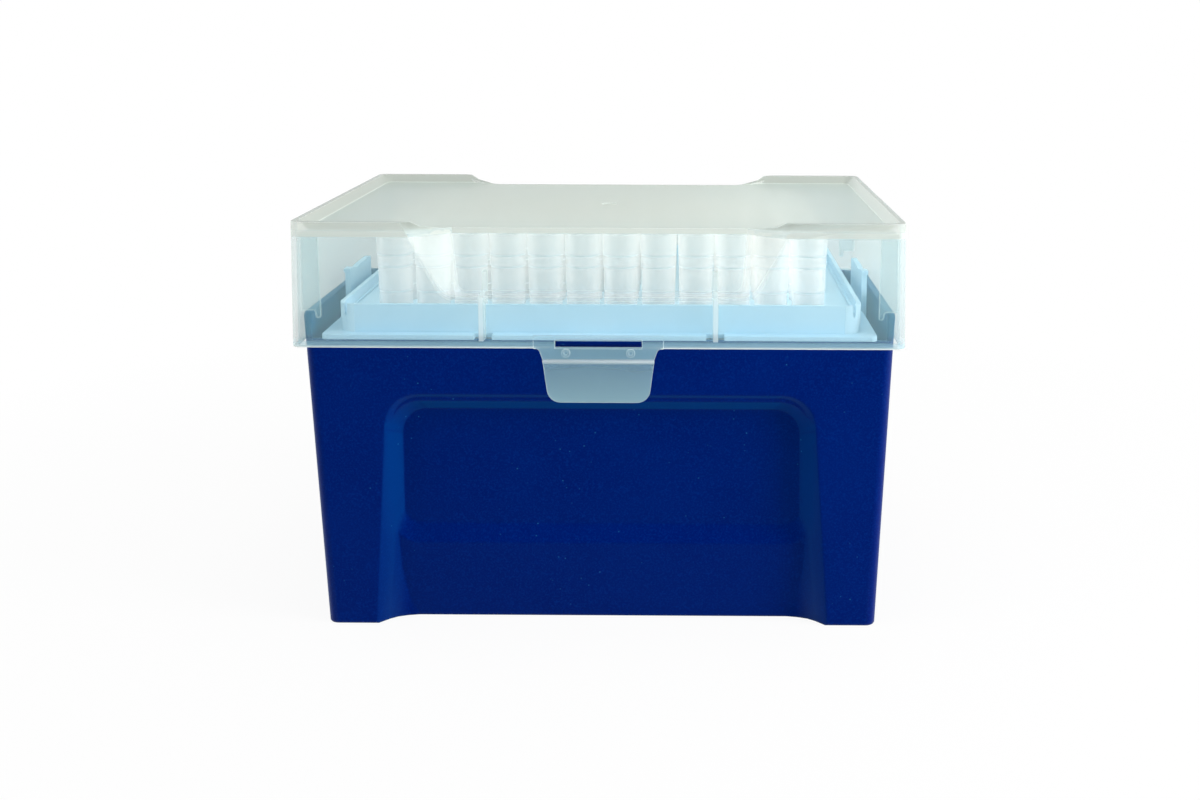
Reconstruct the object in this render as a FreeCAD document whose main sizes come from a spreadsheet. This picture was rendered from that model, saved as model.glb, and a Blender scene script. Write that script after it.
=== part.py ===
"""A hinged box of 96 pipette tips: rack base, perforated wafer, tips, clear lid and its latch flap.

All sizes are in millimetres. +Z is up, the latch is at the front, towards -Y. The pieces are drawn about the
middle of the tub, and at the end each is moved so that the origin lies under the middle of the whole box,
hinge and latch included, on the surface that it stands on. Columns of tips are counted along +X (1 to 12)
and rows from the rear to the front (a to h), as on a microplate.
"""
import FreeCAD, Part
import math
import os
import re

import Sketcher

PARTS_FOLDER = "parts"
COLUMNS = 12
ROWS = 8
ROWS_PER_GROUP = 4

# Driving sizes: alias, value, what it is.
SIZES = [
    ("tip_pitch", 9.0, "distance between neighbouring tips"),
    ("side_margin", 11.9, "from the outermost columns' centres to the tray's sides"),
    ("front_margin", 9.7, "from the outermost rows' centres to the tray's front and rear"),
    # rack base
    ("side_shelf", 7.45, "from the tray's side out to the base's top outer edge"),
    ("front_shelf", 3.25, "the same at the front and rear"),
    ("base_lean", 2.3, "how far each wall leans in from the top down to the ground"),
    ("base_corner", 2.4, "upright corner radius"),
    ("base_edge", 0.6, "radius of the lowest outer edge"),
    ("base_wall", 1.6, "wall thickness"),
    ("side_rise", 6.0, "how far the side walls stand above the front wall"),
    ("side_shoulder", 2.4, "radius at the ends of the raised side walls"),
    ("side_setback", 1.4, "from the front face back to where a side wall rises"),
    ("side_level", 12.0, "from the middle back to where a side wall's top slopes down to the rear"),
    ("foot_wall", 2.6, "thickness of the rim that the box stands on"),
    ("floor_height", 3.2, "underside of the floor above the ground"),
    ("floor_wall", 1.6, "thickness of the floor"),
    # arched recess in the front and rear walls, and the dish sunk in it
    ("arch_drop", 13.3, "from the front wall's top down to the arched recess"),
    ("pillar_low", 11.55, "from the base's side in to the recess, at the ground"),
    ("pillar_high", 18.1, "the same at the recess's top"),
    ("arch_corner", 8.5, "radius of its upper corners"),
    ("arch_depth_high", 0.8, "depth at the top of the recess"),
    ("arch_depth_low", 5.2, "depth at the ground"),
    ("flank_straight", 5.0, "depth down to which the flanks slope at 45 degrees"),
    ("flank_ease", 2.4, "depth over which they then ease into the recess's floor"),
    ("dish_border", 1.2, "from the recess's top edge down to the dish"),
    ("dish_height", 56.6, "from that edge down to where the dish's lower flank would meet the wall"),
    ("dish_inset", 1.2, "from the recess's side in to the dish's lower corners"),
    ("dish_depth_high", 4.3, "depth of the dish's floor at the recess's top"),
    ("dish_depth_low", 5.8, "the same, carried on down to the ground"),
    ("dish_slope", 0.8, "how far the dish's upright flanks lean in for each millimetre of depth"),
    ("dish_rise", 3.33, "how far its lower flank rises for each millimetre of depth"),
    ("dish_corner", 9.0, "radius of its lower corners on the wall's plane"),
    ("dish_corner_fall", 0.75, "how much smaller that radius gets for each millimetre of depth"),
    ("dish_reach", 8.0, "depth to which the dish's flanks are drawn"),
    # wafer
    ("flange_wall", 1.1, "thickness of the wafer's flange"),
    ("flange_gap", 2.4, "between the flange and the raised side walls"),
    ("flange_inset", 0.25, "from the front wall's face back to the flange's edge"),
    ("flange_corner", 1.3, "corner radius of the flange"),
    ("tray_rise", 6.7, "tray wall above the flange"),
    ("tray_wall", 1.0, "thickness of the tray wall"),
    ("tray_corner", 4.0, "corner radius of the tray"),
    ("deck_drop", 2.4, "from the tray's edge down to the deck"),
    ("deck_wall", 1.2, "thickness of the deck"),
    ("seat_width", 0.34, "how far a tip's collar laps over the edge of its hole"),
    ("hole_gap", 0.2, "radial clearance of a tip's stem in its hole"),
    ("slit_width", 0.6, "slits in the tray's corners"),
    ("slit_drop", 2.9, "depth of the slits"),
    ("slit_inset", 1.9, "from the tray's side to a slit"),
    ("notch_width", 4.2, "notches in the flange for the lid's fins"),
    ("ear_start", -16.5, "front end of the side ears"),
    ("ear_lip_end", -13.8, "rear end of the lip on an ear's front end"),
    ("ear_step", -9.9, "lowest place of an ear's top edge"),
    ("ear_crest", -5.4, "where the top edge is level again"),
    ("ear_end", 5.2, "rear end of the side ears"),
    ("ear_wall", 1.3, "thickness of an ear"),
    ("ear_root", 0.4, "how far an ear's plate laps into the flange"),
    ("ear_rise", 10.3, "height of an ear's front end above the flange"),
    ("ear_dip", 0.9, "how far its top edge falls to the lowest place"),
    ("ear_drop", 0.5, "how far its rear part stays below the front end"),
    ("ear_lip", 0.3, "reach of the lip beyond the ear's outer face"),
    ("ear_lip_wall", 0.9, "thickness of that lip"),
    # tips
    ("collar_height", 18.0, "tip collar above the deck"),
    ("collar_gap", 0.2, "half the gap between neighbouring collars"),
    ("collar_step", 0.12, "how far each band of a collar stands back from the one above"),
    ("collar_band", 5.0, "height of the collar's uppermost band"),
    ("collar_second", 2.8, "height of the band below it"),
    ("collar_lowest", 4.2, "height of the lowest band"),
    ("stem_straight", 9.0, "straight part of the stem below the deck"),
    ("socket_wall", 0.44, "wall of the collar's foot round the straight socket"),
    ("socket_length", 8.0, "length of that socket"),
    ("tip_length", 89.0, "overall length of a tip"),
    ("tip_gap", 1.2, "between a tip's lower end and the floor"),
    ("point_radius", 0.9, "outside of a tip's lower end"),
    ("orifice_radius", 0.4, "opening of a tip's lower end"),
    # lid
    ("lid_play", 0.95, "between the lid's skirt and the base at the sides"),
    ("lid_front_play", 0.95, "the same at the front and rear"),
    ("lid_lean", 0.62, "how far each side leans in up to the rim"),
    ("lid_lap", 1.3, "how far the skirt reaches below the top of the base's front wall"),
    ("head_room", 1.1, "between the tips and the top plate"),
    ("lid_corner", 2.2, "upright corner radius"),
    ("lid_wall", 1.2, "thickness of the skirt"),
    ("plate_drop", 2.1, "from the rim down to the top plate"),
    ("plate_wall", 1.3, "thickness of the top plate"),
    ("rim_land", 1.3, "flat top of the rim"),
    ("rim_slope", 1.7, "how far the rim's inner face slopes in"),
    ("pocket_width_high", 92.4, "finger pocket's mouth at the rim"),
    ("pocket_width_low", 70.6, "finger pocket's mouth at its ledge"),
    ("ledge_rise", 3.0, "pocket's ledge above the wafer's tray wall"),
    ("panel_gap", 2.68, "between the pocket's panel and the tips behind it"),
    ("panel_width_high", 71.2, "panel at the rim"),
    ("panel_width_low", 66.6, "panel at the ledge"),
    ("pocket_corner", 5.0, "radius of the mouth's lower corners"),
    ("panel_corner", 2.0, "radius of the panel's lower corners"),
    ("fin_wall", 1.1, "thickness of a fin"),
    ("fin_rise", 4.6, "how far a fin reaches above the pocket's ledge"),
    ("gusset_inset", 5.6, "from the lid's front to a corner gusset"),
    ("gusset_wall", 1.0, "thickness of a gusset"),
    ("gusset_reach", 4.6, "how far a gusset stands in from the lid's side"),
    ("gusset_lobe", 1.8, "how far its lobe reaches below the side walls' top"),
    ("body_gap", 0.3, "clearance between the lid and what it closes over"),
    ("gate_radius", 2.0, "moulding gate's dimple in the middle of the plate"),
    ("gate_depth", 0.3, "depth of that dimple"),
    # latch
    ("latch_pad", 0.45, "how far the latch area stands proud of the skirt"),
    ("latch_pad_width", 30.0, "width of that area"),
    ("latch_pad_height", 3.1, "its height above the lid's lower edge"),
    ("neck_width_high", 27.6, "latch neck at the lid's lower edge"),
    ("neck_width_low", 25.8, "latch neck at the hinge line"),
    ("latch_wall", 1.2, "thickness of the neck"),
    ("latch_axis_drop", 3.0, "from the lid's lower edge down to the latch's hinge line"),
    ("bead_radius", 0.4, "bead along the latch's hinge line"),
    ("bead_gap", 0.05, "running clearance of that bead"),
    ("flap_wall", 1.0, "thickness of the latch flap"),
    ("flap_drop", 9.8, "from the hinge line down to the flap's lower edge"),
    ("flap_width_low", 23.2, "flap near its lower corners"),
    ("flap_corner", 3.2, "radius of the lower corners"),
    ("window_width", 20.1, "slot above the latch neck"),
    ("window_low", 0.1, "lower edge of the slot above the lid's edge"),
    ("window_height", 1.8, "height of the slot"),
    ("nib_width", 19.6, "nib on the base's front wall"),
    ("nib_height", 0.9, "height of the nib"),
    ("boss_spread", 14.95, "between the two ring bosses"),
    ("boss_drop", 0.95, "from the lid's edge down to the bosses"),
    ("boss_radius", 0.95, "outside of a ring boss"),
    ("boss_bore", 0.5, "inside of a ring boss"),
    ("boss_height", 0.3, "height of a ring boss"),
    # rear hinge
    ("hinge_gap", 0.45, "between the lid's rear skirt and the base's lugs"),
    ("hinge_rise", 1.9, "lid hinge axis above the skirt's lower edge"),
    ("hinge_spread", 80.0, "between the middles of the two hinges"),
    ("knuckle_width", 7.0, "width of the lid's knuckle"),
    ("knuckle_rim", 0.9, "material round the pin in the knuckle"),
    ("lug_wall", 2.4, "thickness of a lug of the base"),
    ("lug_rim", 1.0, "material round the bore in a lug"),
    ("pin_radius", 1.2, "hinge pin moulded on the knuckle"),
    ("pin_gap", 0.05, "radial clearance of the pin in a lug"),
]

doc = FreeCAD.newDocument("tip_box")
sheet = doc.addObject("Spreadsheet::Sheet", "sizes")
for row, (alias, amount, meaning) in enumerate(SIZES, start=1):
    sheet.set(f"A{row}", str(amount))
    sheet.setAlias(f"A{row}", alias)
    sheet.set(f"B{row}", meaning)
doc.recompute()

ALIAS = re.compile(r"\b(" + "|".join(alias for alias, _, _ in SIZES) + r")\b")


def formula(words):
    """Words such as 'base_lean / 2' as an expression on the sheet."""
    return ALIAS.sub(r"sizes.\1", str(words))


def size(words):
    """The number that a formula gives now."""
    return float(sheet.evalExpression(formula(words)))


def bind(feature, prop, words):
    feature.setExpression(prop, formula(words))


def new_body(label):
    body = doc.addObject("PartDesign::Body", label)
    body.Label = label
    return body


def new_sketch(body, plane, offset="0"):
    """A sketch on one of the body's own origin planes, moved along the plane's normal."""
    sketch = body.newObject("Sketcher::SketchObject", body.Name + "_sketch")
    origin = [f for f in body.Origin.OriginFeatures if f.Role == plane + "_Plane"][0]
    sketch.AttachmentSupport = [(origin, "")]
    sketch.MapMode = "FlatFace"
    bind(sketch, "AttachmentOffset.Base.z", offset)
    return sketch


def hold(sketch, kind, place, words):
    """Adds a dimension and binds it to a formula."""
    index = sketch.addConstraint(Sketcher.Constraint(kind, *place, size(words)))
    bind(sketch, f"Constraints[{index}]", words)


def hold_point(sketch, geometry, end, words_x, words_y):
    hold(sketch, "DistanceX", (geometry, end), words_x)
    hold(sketch, "DistanceY", (geometry, end), words_y)


def outline(sketch, corners):
    """A closed outline through corners (x, y) or (x, y, radius), each given as formulas.

    A rounded corner is an arc tangent to its two lines, and the lines meet at a held construction point.
    """
    spots = [FreeCAD.Vector(size(c[0]), size(c[1]), 0) for c in corners]
    count = len(corners)
    arrive, leave, arcs = {}, {}, {}
    for i, corner in enumerate(corners):
        spot = spots[i]
        if len(corner) == 2:
            arrive[i] = leave[i] = spot
            continue
        radius = size(corner[2])
        back = (spots[i - 1] - spot).normalize()
        ahead = (spots[(i + 1) % count] - spot).normalize()
        half = math.acos(max(-1.0, min(1.0, back.dot(ahead)))) / 2
        reach = radius / math.tan(half)
        arrive[i] = spot + back * reach
        leave[i] = spot + ahead * reach
        centre = spot + (back + ahead).normalize() * (radius / math.sin(half))
        turns_left = back.cross(ahead).z < 0
        first, last = (arrive[i], leave[i]) if turns_left else (leave[i], arrive[i])
        angles = [math.atan2(p.y - centre.y, p.x - centre.x) for p in (first, last)]
        circle = Part.Circle(centre, FreeCAD.Vector(0, 0, 1), radius)
        arcs[i] = (sketch.addGeometry(Part.ArcOfCircle(circle, angles[0], angles[1])), turns_left)
    lines = [
        sketch.addGeometry(Part.LineSegment(leave[i], arrive[(i + 1) % count])) for i in range(count)
    ]
    for i, corner in enumerate(corners):
        before, after = lines[i - 1], lines[i]
        if i not in arcs:
            sketch.addConstraint(Sketcher.Constraint("Coincident", before, 2, after, 1))
            hold_point(sketch, after, 1, corner[0], corner[1])
            continue
        arc, turns_left = arcs[i]
        start, end = (1, 2) if turns_left else (2, 1)
        point = sketch.addGeometry(Part.Point(spots[i]), True)
        hold_point(sketch, point, 1, corner[0], corner[1])
        sketch.addConstraint(Sketcher.Constraint("PointOnObject", point, 1, before))
        sketch.addConstraint(Sketcher.Constraint("PointOnObject", point, 1, after))
        sketch.addConstraint(Sketcher.Constraint("Tangent", before, 2, arc, start))
        sketch.addConstraint(Sketcher.Constraint("Tangent", after, 1, arc, end))
        hold(sketch, "Radius", (arc,), corner[2])


def circle(sketch, words_x, words_y, words_radius):
    centre = FreeCAD.Vector(size(words_x), size(words_y), 0)
    ring = sketch.addGeometry(Part.Circle(centre, FreeCAD.Vector(0, 0, 1), size(words_radius)))
    hold_point(sketch, ring, 3, words_x, words_y)
    hold(sketch, "Radius", (ring,), words_radius)


def rounded_rectangle(half_x, half_y, radius):
    return [
        (f"-({half_x})", f"-({half_y})", radius),
        (f"{half_x}", f"-({half_y})", radius),
        (f"{half_x}", f"{half_y}", radius),
        (f"-({half_x})", f"{half_y}", radius),
    ]


def rectangle(low_x, low_y, high_x, high_y):
    return [(low_x, low_y), (high_x, low_y), (high_x, high_y), (low_x, high_y)]


def loft(label, plane, sections):
    """A body lofted straight between two outlines: sections are (offset, corners)."""
    body = new_body(label)
    sketches = []
    for offset, corners in sections:
        sketch = new_sketch(body, plane, offset)
        outline(sketch, corners)
        sketches.append(sketch)
    feature = body.newObject("PartDesign::AdditiveLoft", label + "_loft")
    feature.Profile = sketches[0]
    feature.Sections = sketches[1:]
    feature.Ruled = True
    return body


def add_pad(body, plane, corners, length, offset="0", midplane=False, reverse=False):
    """Pads an outline. It grows along the plane's normal, or against it with reverse."""
    sketch = new_sketch(body, plane, offset)
    outline(sketch, corners)
    pad = body.newObject("PartDesign::Pad", body.Name + "_pad")
    pad.Profile = sketch
    bind(pad, "Length", length)
    pad.Midplane = midplane
    pad.Reversed = reverse
    return pad


def prism(label, plane, corners, length, offset="0", midplane=False, reverse=False):
    body = new_body(label)
    add_pad(body, plane, corners, length, offset, midplane, reverse)
    return body


def rod(label, plane, centre_x, centre_y, radius, length, offset="0"):
    """A round bar centred on its plane."""
    body = new_body(label)
    sketch = new_sketch(body, plane, offset)
    circle(sketch, centre_x, centre_y, radius)
    pad = body.newObject("PartDesign::Pad", label + "_pad")
    pad.Profile = sketch
    pad.Midplane = True
    bind(pad, "Length", length)
    return body


def mirrored(label, source, normal):
    mirror = doc.addObject("Part::Mirroring", label)
    mirror.Source = source
    mirror.Normal = normal
    return mirror


def both_sides(label, source, normal):
    """A form and its mirror image, as a list."""
    return [source, mirrored(label, source, normal)]


def fuse(label, forms):
    union = doc.addObject("Part::MultiFuse", label)
    union.Shapes = forms
    union.Refine = True
    return union


def cut(label, base, tools):
    result = doc.addObject("Part::Cut", label)
    result.Base = base
    result.Tool = tools[0] if len(tools) == 1 else fuse(label + "_tools", tools)
    result.Refine = True
    return result


def common(label, first, second):
    shared = doc.addObject("Part::Common", label)
    shared.Base = first
    shared.Tool = second
    shared.Refine = True
    return shared


ACROSS = FreeCAD.Vector(1, 0, 0)
ALONG = FreeCAD.Vector(0, 1, 0)

# ---------------------------------------------------------------------------------------------------
# Shared places
# ---------------------------------------------------------------------------------------------------
COLUMN_REACH = f"(tip_pitch * {(COLUMNS - 1) / 2})"
ROW_REACH = f"(tip_pitch * {(ROWS - 1) / 2})"
TRAY_HALF_X = f"({COLUMN_REACH} + side_margin)"
TRAY_HALF_Y = f"({ROW_REACH} + front_margin)"
BASE_HALF_X = f"({TRAY_HALF_X} + side_shelf)"
BASE_HALF_Y = f"({TRAY_HALF_Y} + front_shelf)"

DECK_RISE = "(flange_wall + tray_rise - deck_drop)"
FRONT_HEIGHT = f"(floor_height + floor_wall + tip_gap + tip_length - collar_height - {DECK_RISE})"
BASE_TOP = f"({FRONT_HEIGHT} + side_rise)"
FLANGE_TOP = f"({FRONT_HEIGHT} + flange_wall)"
TRAY_TOP = f"({FLANGE_TOP} + tray_rise)"
DECK_TOP = f"({FRONT_HEIGHT} + {DECK_RISE})"
TIP_TOP = f"({DECK_TOP} + collar_height)"

TOP_LEAN = f"(side_rise * base_lean / {BASE_TOP})"
FRONT_HALF_Y = f"({BASE_HALF_Y} - {TOP_LEAN})"
FLANGE_HALF_X = f"({BASE_HALF_X} - base_wall - {TOP_LEAN} - flange_gap)"
FLANGE_HALF_Y = f"({FRONT_HALF_Y} - flange_inset)"
ARCH_TOP = f"({FRONT_HEIGHT} - arch_drop)"
ARCH_HALF_LOW = f"({BASE_HALF_X} - base_lean - pillar_low)"
ARCH_HALF_HIGH = f"({BASE_HALF_X} - pillar_high)"
DISH_LOW = f"({ARCH_TOP} - dish_height)"

COLLAR_RADIUS = "(tip_pitch / 2 - collar_gap)"
COLLAR_FOOT = f"({COLLAR_RADIUS} - 3 * collar_step)"
HOLE_RADIUS = f"({COLLAR_FOOT} - seat_width)"
STEM_RADIUS = f"({HOLE_RADIUS} - hole_gap)"
SOCKET_RADIUS = f"({COLLAR_FOOT} - socket_wall)"

LID_HALF_X = f"({BASE_HALF_X} + lid_play + lid_wall)"
LID_HALF_Y = f"({BASE_HALF_Y} + lid_front_play + lid_wall)"
LID_LOW = f"({FRONT_HEIGHT} - lid_lap)"
PLATE_UNDER = f"({TIP_TOP} + head_room)"
PLATE_TOP = f"({PLATE_UNDER} + plate_wall)"
LID_TOP = f"({PLATE_TOP} + plate_drop)"
POCKET_LEDGE = f"({TRAY_TOP} + ledge_rise)"
FIN_PLACE = "(tip_pitch * 3)"
FIN_LOW = f"({FRONT_HEIGHT} + body_gap)"
FIN_TOP = f"({POCKET_LEDGE} + fin_rise)"
GUSSET_PLACE = f"({LID_HALF_Y} - gusset_inset)"
PANEL_FACE = f"({ROW_REACH} + {COLLAR_RADIUS} + panel_gap + lid_wall)"
POCKET_DEPTH = f"({LID_HALF_Y} - lid_lean - {PANEL_FACE})"

LATCH_FACE = f"({LID_HALF_Y} + latch_pad)"
LATCH_AXIS = f"({LID_LOW} - latch_axis_drop)"
KNUCKLE_RADIUS = "(pin_radius + knuckle_rim)"
LUG_RADIUS = "(pin_radius + pin_gap + lug_rim)"
HINGE_PLACE = f"({LID_HALF_Y} + hinge_gap + {LUG_RADIUS})"
HINGE_HEIGHT = f"({LID_LOW} + hinge_rise)"
REAR_REACH = f"({HINGE_PLACE} + {LUG_RADIUS})"
FRONT_REACH = f"({LATCH_FACE} + boss_height)"
CENTRE_SHIFT = f"(({FRONT_REACH} - {REAR_REACH}) / 2)"


def base_half_x(height):
    return f"({BASE_HALF_X} - base_lean * (1 - ({height}) / {BASE_TOP}))"


def base_half_y(height):
    return f"({BASE_HALF_Y} - base_lean * (1 - ({height}) / {BASE_TOP}))"


# ---------------------------------------------------------------------------------------------------
# Rack base: a drafted tub with raised side walls, an arched recess front and rear, and hinge lugs
# ---------------------------------------------------------------------------------------------------
def tub(label, levels):
    """The base's drafted outline through levels of (height, inset, corner radius)."""
    sections = []
    for height, inset, radius in levels:
        half_x = f"({base_half_x(height)} - {inset})"
        half_y = f"({base_half_y(height)} - {inset})"
        sections.append((height, rounded_rectangle(half_x, half_y, radius)))
    return loft(label, "XY", sections)


# How a flank of the recess eases into its floor: steps further in depth and inwards, in parts of flank_ease.
FLANK_STEPS = ((0.0, 0.0), (0.5, 0.7), (0.85, 1.7), (1.25, 4.0))


def arch_outline(inset):
    """The arched recess on a plane in front of the wall; its legs splay down past the ground."""
    low = f"({ARCH_HALF_LOW} + base_lean - {inset})"
    high = f"({ARCH_HALF_HIGH} - {inset})"
    top = f"({ARCH_TOP} + 0.7 - {inset})"
    return [
        (f"-{low}", "-2"),
        (f"{low}", "-2"),
        (f"{high}", top, f"arch_corner - {inset} / 2"),
        (f"-{high}", top, f"arch_corner - {inset} / 2"),
    ]


def recess_half(height):
    """Half the width of the recess at a height, on a plane in front of the wall."""
    low = f"({ARCH_HALF_LOW} + base_lean)"
    return f"({low} - ({low} - {ARCH_HALF_HIGH}) * (({height}) + 2) / ({ARCH_TOP} + 2.7))"


def dish_outline(depth, swell):
    """The dish at a depth, made larger all round by swell: its sides follow those of the recess."""
    inset = f"(dish_slope * {depth} - {swell})"
    low = f"({DISH_LOW} + dish_rise * {depth} - {swell})"
    high = f"({ARCH_TOP} + 0.7 - dish_border - {inset})"
    low_half = f"({recess_half(low)} - dish_inset - {inset})"
    high_half = f"({recess_half(high)} - {inset})"
    low_radius = f"dish_corner - dish_corner_fall * {depth}"
    high_radius = f"arch_corner - {inset} / 2"
    return [
        (f"-{low_half}", low, low_radius),
        (low_half, low, low_radius),
        (high_half, high, high_radius),
        (f"-{high_half}", high, high_radius),
    ]


def recess_floor(label, depth_high, depth_low, grow):
    """Everything in front of a slanted floor, whose depth is taken from the drafted wall."""
    floor_low = f"-({base_half_y('0')} - {depth_low} - {grow})"
    floor_high = f"-({base_half_y(ARCH_TOP)} - {depth_high} - {grow})"
    slope = f"(({floor_high} - {floor_low}) / {ARCH_TOP})"
    front = f"-{BASE_HALF_Y} - 5"
    below, above = "-1", f"({ARCH_TOP} + 5)"
    return prism(
        label,
        "YZ",
        [
            (front, below),
            (f"{floor_low} + {slope} * ({below})", below),
            (f"{floor_low} + {slope} * {above}", above),
            (front, above),
        ],
        f"{BASE_HALF_X} * 2",
        midplane=True,
    )


def recess_form(label, grow):
    """What the recess and its dish take out of the front wall, made larger all round by grow."""
    front = BASE_HALF_Y
    swell = f"({grow} * sqrt(0.5))"
    levels = [(f"{front} - {swell}", arch_outline(f"(0 - {swell})"))]
    for deeper, inwards in FLANK_STEPS:
        depth = f"(flank_straight + {deeper} * flank_ease + {swell})"
        inset = f"(flank_straight + {inwards} * flank_ease - {swell})"
        levels.append((f"{front} - {depth}", arch_outline(inset)))
    arch_flanks = loft(label + "_arch_flanks", "XZ", levels)
    arch_floor = recess_floor(label + "_arch_floor", "arch_depth_high", "arch_depth_low", grow)
    dish_flanks = loft(
        label + "_dish_flanks",
        "XZ",
        [
            (f"{front} - {swell}", dish_outline("0", swell)),
            (f"{front} - dish_reach - {swell}", dish_outline("dish_reach", swell)),
        ],
    )
    dish_floor = recess_floor(label + "_dish_floor", "dish_depth_high", "dish_depth_low", grow)
    return [
        common(label + "_arch", arch_flanks, arch_floor),
        common(label + "_dish", dish_flanks, dish_floor),
    ]


def wall_steps():
    """What is taken off above the front and rear walls; the raised side walls slope down at the rear."""
    step = f"({BASE_HALF_Y} - side_setback)"
    above = f"({BASE_TOP} + 2)"
    front = prism(
        "front_step_form",
        "YZ",
        [
            (f"-{BASE_HALF_Y} - 5", FRONT_HEIGHT),
            (f"-{step}", FRONT_HEIGHT),
            (f"-{step}", BASE_TOP, "side_shoulder"),
            (f"-{step} + side_shoulder + 0.5", BASE_TOP),
            (f"-{step} + side_shoulder + 0.5", above),
            (f"-{BASE_HALF_Y} - 5", above),
        ],
        f"{BASE_HALF_X} * 2 + 10",
        midplane=True,
    )
    between = prism(
        "between_sides_form",
        "XY",
        rectangle(
            f"-({base_half_x(FRONT_HEIGHT)} - base_wall)",
            f"-({BASE_HALF_Y} + 5)",
            f"{base_half_x(FRONT_HEIGHT)} - base_wall",
            f"{BASE_HALF_Y} + 5",
        ),
        "side_rise + 2",
        offset=FRONT_HEIGHT,
    )
    rear = prism(
        "rear_step_form",
        "YZ",
        [
            ("side_level", BASE_TOP),
            (step, FRONT_HEIGHT),
            (f"{BASE_HALF_Y} + 5", FRONT_HEIGHT),
            (f"{BASE_HALF_Y} + 5", above),
            ("side_level", above),
        ],
        f"{BASE_HALF_X} * 2 + 10",
        midplane=True,
    )
    return [between, front, rear]


def hinge_lugs():
    """Two pairs of lugs that reach out under the lid's rear edge and up to the lid's pins."""
    inner = f"({base_half_y(LID_LOW)} - base_wall / 2)"
    near = f"({LID_HALF_Y} + body_gap)"
    top = f"({HINGE_HEIGHT} + {LUG_RADIUS})"
    shelf = f"({LID_LOW} - body_gap)"
    profile = [
        (inner, f"{shelf} - 2 * {LUG_RADIUS}"),
        (REAR_REACH, f"{shelf} - {LUG_RADIUS} / 2", LUG_RADIUS),
        (REAR_REACH, top, f"{LUG_RADIUS} * 0.98"),
        (f"{HINGE_PLACE} - {LUG_RADIUS}", top, f"{LUG_RADIUS} * 0.98"),
        (near, shelf),
        (inner, shelf),
    ]
    outer_start = "(hinge_spread / 2 + knuckle_width / 2 + body_gap)"
    inner_start = "(hinge_spread / 2 - knuckle_width / 2 - body_gap - lug_wall)"
    outer_lug = prism("outer_lug", "YZ", profile, "lug_wall", offset=outer_start)
    inner_lug = prism("inner_lug", "YZ", profile, "lug_wall", offset=inner_start)
    right = fuse("right_lugs", [outer_lug, inner_lug])
    bore = rod(
        "lug_bores",
        "YZ",
        HINGE_PLACE,
        HINGE_HEIGHT,
        "pin_radius + pin_gap",
        "hinge_spread * 2",
    )
    return both_sides("left_lugs", right, ACROSS), bore


def make_base():
    outer = tub(
        "base_outer_form",
        [
            ("0", "base_edge * 0.75", "base_corner - base_edge * 0.75"),
            ("base_edge * 0.25", "base_edge * 0.32", "base_corner - base_edge * 0.32"),
            ("base_edge * 0.8", "base_edge * 0.03", "base_corner - base_edge * 0.03"),
            (BASE_TOP, "0", "base_corner"),
        ],
    )
    hollow = tub(
        "base_hollow_form",
        [
            ("(floor_height + floor_wall)", "base_wall", "base_corner - base_wall"),
            (f"({BASE_TOP} + 1)", "base_wall", "base_corner - base_wall"),
        ],
    )
    underside = tub(
        "base_underside_form",
        [
            ("-1", "foot_wall", "base_corner - base_wall"),
            ("floor_height", "foot_wall", "base_corner - base_wall"),
        ],
    )
    recess = fuse("front_recess", recess_form("recess", "0"))
    recess_skin = fuse("front_recess_skin", recess_form("recess_skin", "base_wall"))
    skins = both_sides("rear_recess_skin", recess_skin, ALONG)
    inside = cut("base_inside", fuse("base_hollows", [hollow, underside]), skins)
    lugs, bore = hinge_lugs()
    nib = prism(
        "nib_form",
        "XZ",
        rectangle("-nib_width / 2", f"{FRONT_HEIGHT} - nib_height", "nib_width / 2", FRONT_HEIGHT),
        f"base_wall / 2 + {LID_HALF_Y} - lid_wall - body_gap - {FRONT_HALF_Y}",
        offset=f"{FRONT_HALF_Y} - base_wall / 2",
    )
    shell = cut(
        "base_shell",
        outer,
        [inside] + both_sides("rear_recess", recess, ALONG) + wall_steps(),
    )
    return cut("rack_base", fuse("base_with_lugs", [shell, nib] + lugs), [bore])


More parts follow.
